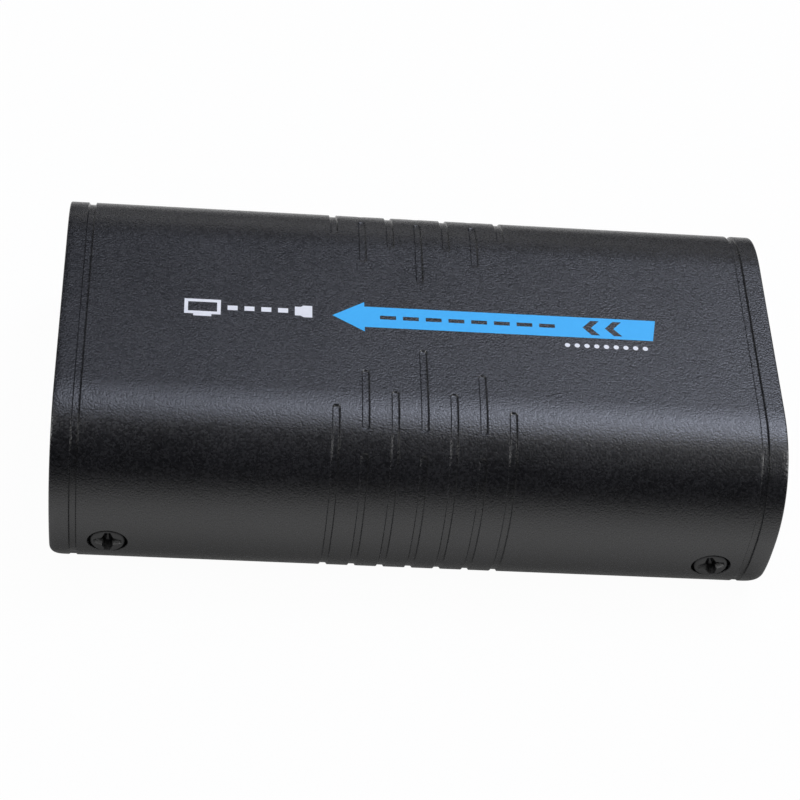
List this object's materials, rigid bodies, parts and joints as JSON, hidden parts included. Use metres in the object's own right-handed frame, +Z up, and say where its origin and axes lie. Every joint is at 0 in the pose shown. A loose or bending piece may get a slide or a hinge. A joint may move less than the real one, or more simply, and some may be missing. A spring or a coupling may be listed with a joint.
{
  "type": "hdmi extender",
  "caption": "Black bulge-sided box that sends or receives video over network cable, with sockets in both ends, grip grooves and side screws.",
  "frame": {"origin": "centre of the underside, on the surface it stands on", "axes": "+X along the length towards the network socket, +Y across towards the reset button side, +Z up to the flat top"},
  "size_m": [0.107, 0.0572, 0.0274],
  "materials": {
    "shell_black": "fine sand-textured satin black",
    "cover_black": "plain moulded black",
    "panel_black": "fine-grained moulded black",
    "screw_black": "black oxide",
    "screw_zinc": "bright zinc",
    "print_blue": "pad-printed ink",
    "print_white": "pad-printed ink",
    "board_green": "solder mask on glass laminate",
    "tin_plate": "tinned sheet",
    "socket_black": "moulded black",
    "contact_gold": "gold-flashed",
    "led_lens": "milky clear",
    "button_black": "moulded black",
    "chip_black": "moulded epoxy",
    "pad_grey": "soft silicone",
    "sink_aluminium": "extruded",
    "can_metal": "drawn can",
    "ferrite_grey": "pressed ferrite",
    "ceramic_tan": "ceramic"
  },
  "bodies": {
    "casing": {"top_shell": "shell_black", "bottom_cover": "cover_black", "video_end_panel": "panel_black", "network_end_panel": "panel_black", "case_screws": "screw_black", "board_screws": "screw_zinc", "arrow_print": "print_blue", "white_print": "print_white", "main_board": "board_green", "video_socket_shell": "tin_plate", "video_socket_insert": "socket_black", "video_socket_contacts": "contact_gold", "dc_jack_housing": "socket_black", "dc_jack_pin": "tin_plate", "dc_jack_spring": "tin_plate", "power_led": "led_lens", "power_led_leads": "tin_plate", "network_socket_housing": "socket_black", "network_socket_shield": "tin_plate", "network_socket_contacts": "contact_gold", "link_leds": "led_lens", "ir_jack_housing": "socket_black", "ir_jack_contacts": "tin_plate", "reset_switch_base": "socket_black", "reset_switch_cover": "tin_plate", "reset_dome": "tin_plate", "video_processor": "chip_black", "thermal_pad": "pad_grey", "heat_sink": "sink_aluminium", "video_chip": "chip_black", "memory_chip": "chip_black", "network_chip": "chip_black", "flash_chip": "chip_black", "chip_leads": "tin_plate", "network_transformer": "chip_black", "crystals": "can_metal", "electrolytic_capacitors": "can_metal", "power_inductor": "ferrite_grey", "voltage_regulators": "chip_black", "small_components": "ceramic_tan"},
    "reset_button": {"reset_button": "button_black"}
  },
  "joints": [
    {"name": "reset_press", "type": "slide", "parent": "casing", "child": "reset_button", "axis": [-1, 0, 0], "range_m": [0, 0.0003], "stiffness_N_per_m": 5000, "deforming": ["reset_dome"]}
  ]
}
